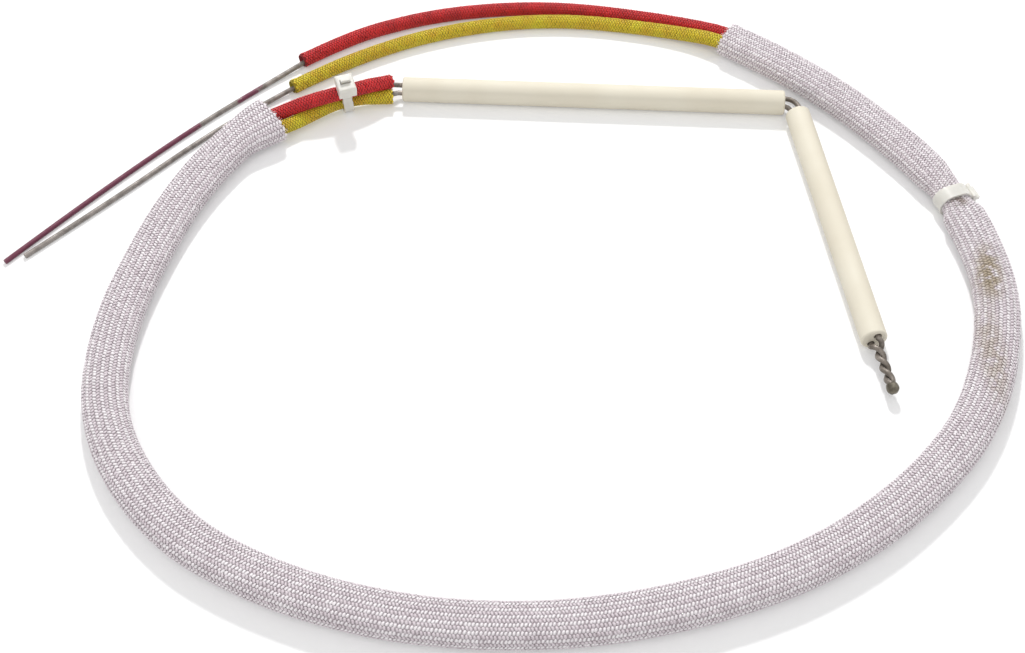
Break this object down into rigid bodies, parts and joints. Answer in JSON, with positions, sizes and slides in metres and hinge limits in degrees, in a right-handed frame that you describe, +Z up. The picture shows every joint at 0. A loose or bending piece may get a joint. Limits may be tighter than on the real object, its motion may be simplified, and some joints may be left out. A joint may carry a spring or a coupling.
{
  "type": "flame sensor probe",
  "caption": "High-temperature two-wire flame sensor probe with a bent ceramic-insulated tip, a twisted welded junction and a braided glass-fibre lead.",
  "frame": {"origin": "middle of the bare probe's outline (both insulators, the elbow and the tip, without the lead) on the surface that it rests on", "axes": "+X along the rear insulator towards the elbow, +Z up from the surface, +Y on the rear insulator's side of the front one"},
  "size_m": [0.2461, 0.1978, 0.0137],
  "materials": {
    "ceramic": "unglazed, fired cream",
    "weld_bead": "fused metal, rough and oxidised",
    "probe_wire": "drawn alloy wire, heat-dulled grey",
    "lead_wire": "drawn alloy wire, dull grey",
    "marked_wire": "drawn alloy wire, dull grey, maroon marking coat at the bare end",
    "red_braid": "fine glass-fibre braid, red",
    "yellow_braid": "fine glass-fibre braid, yellow",
    "white_braid": "coarse glass-fibre braid, white",
    "nylon": "natural translucent nylon"
  },
  "bodies": {
    "lead": {"negative_wire_rear": "probe_wire", "positive_wire_rear": "probe_wire", "negative_wire_elbow": "probe_wire", "positive_wire_elbow": "probe_wire", "negative_lead_wire": "marked_wire", "positive_lead_wire": "lead_wire", "red_inner_sleeve": "red_braid", "yellow_inner_sleeve": "yellow_braid", "long_outer_sleeve": "white_braid", "short_outer_sleeve": "white_braid", "front_cable_tie": "nylon", "sleeve_joint_tie": "nylon"},
    "rear_tube": {"rear_insulator": "ceramic"},
    "front_leg": {"negative_wire_tip": "probe_wire", "positive_wire_tip": "probe_wire", "hot_junction_bead": "weld_bead"},
    "front_tube": {"front_insulator": "ceramic"}
  },
  "joints": [
    {"name": "rear_insulator_slide", "type": "slide", "parent": "lead", "child": "rear_tube", "axis": [-0.9999, 0.0168, 0], "range_m": [0, 0.001]},
    {"name": "elbow_bend", "type": "hinge", "parent": "lead", "child": "front_leg", "pos_m": [0.04249, 0.04433, 0.0032], "axis": [-0.9839, -0.1786, 0], "range_deg": [0, 75], "deforming": ["negative_wire_elbow", "positive_wire_elbow"]},
    {"name": "front_insulator_slide", "type": "slide", "parent": "front_leg", "child": "front_tube", "axis": [0.1786, -0.9839, 0], "range_m": [0, 0.0005]}
  ]
}
